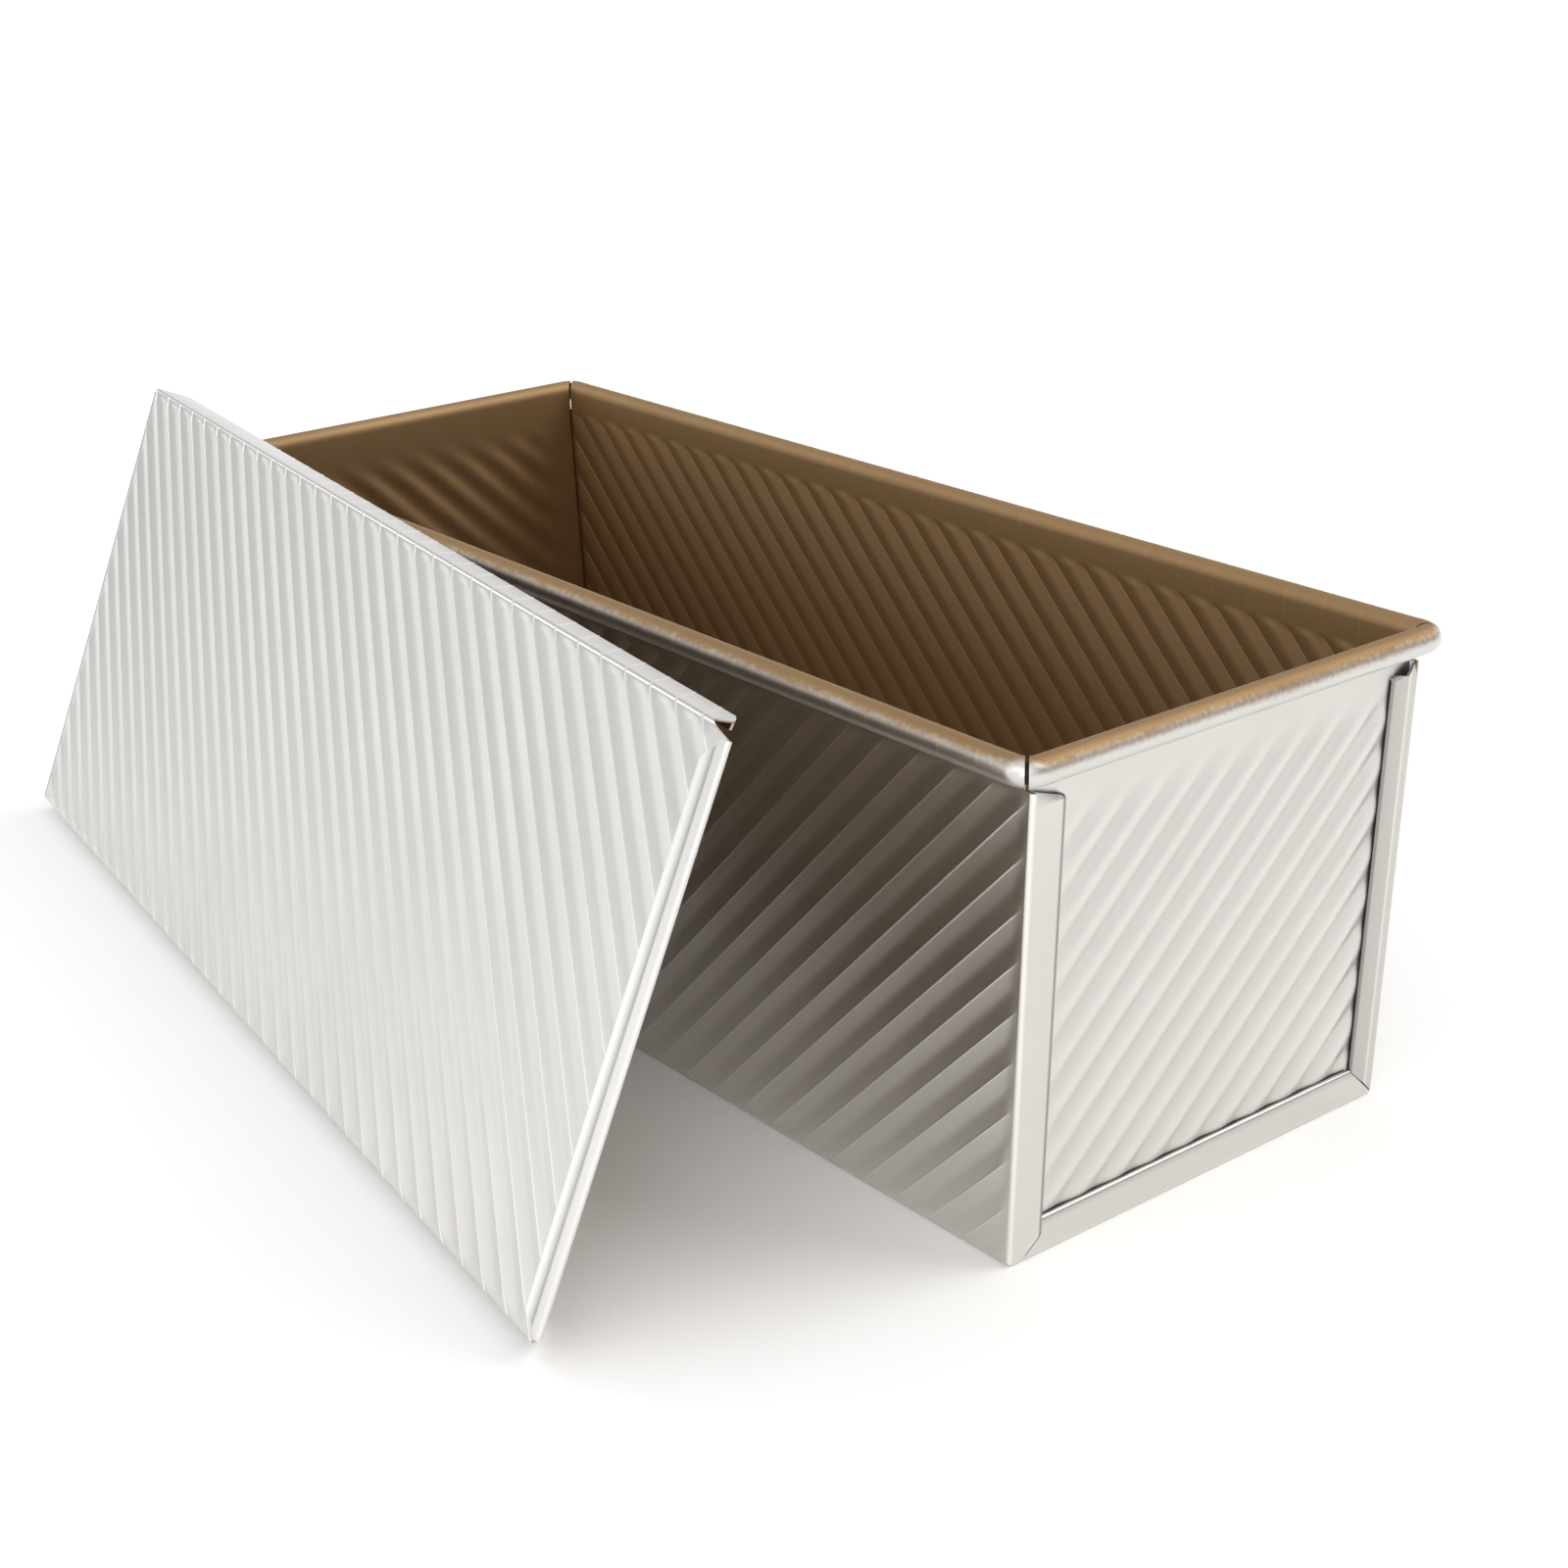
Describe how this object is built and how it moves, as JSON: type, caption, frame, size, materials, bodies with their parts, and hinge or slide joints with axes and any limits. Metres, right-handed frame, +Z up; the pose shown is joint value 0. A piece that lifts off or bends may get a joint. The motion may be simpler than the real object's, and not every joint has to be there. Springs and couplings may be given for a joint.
{
  "type": "lidded loaf pan",
  "caption": "Long loaf pan of corrugated sheet metal with a wired rim and a slide-on lid that leans on the rim.",
  "frame": {"origin": "centre of the pan's bottom face, on the surface it stands on", "axes": "+X along the pan's length towards the near end, the one shown to the camera; +Y across the pan, away from the side the lid leans on; +Z up"},
  "size_m": [0.3761, 0.2087, 0.1191],
  "materials": {
    "body_sheet": "satin silver outside, gold-brown non-stick coating inside",
    "near_end_panel": "satin silver outside, gold-brown non-stick coating inside",
    "far_end_panel": "satin silver outside, gold-brown non-stick coating inside",
    "rim_wire": "plain drawn wire",
    "lid_sheet": "satin silver outside, gold-brown non-stick coating inside"
  },
  "bodies": {
    "pan": {"body_sheet": "body_sheet", "near_end_panel": "near_end_panel", "far_end_panel": "far_end_panel", "rim_wire": "rim_wire"},
    "lid": {"lid_sheet": "lid_sheet"}
  },
  "joints": [
    {"name": "lid_slide", "type": "slide", "parent": "pan", "child": "lid", "axis": [-0.989, 0.1478, 0], "range_m": [0, 0.322]}
  ]
}
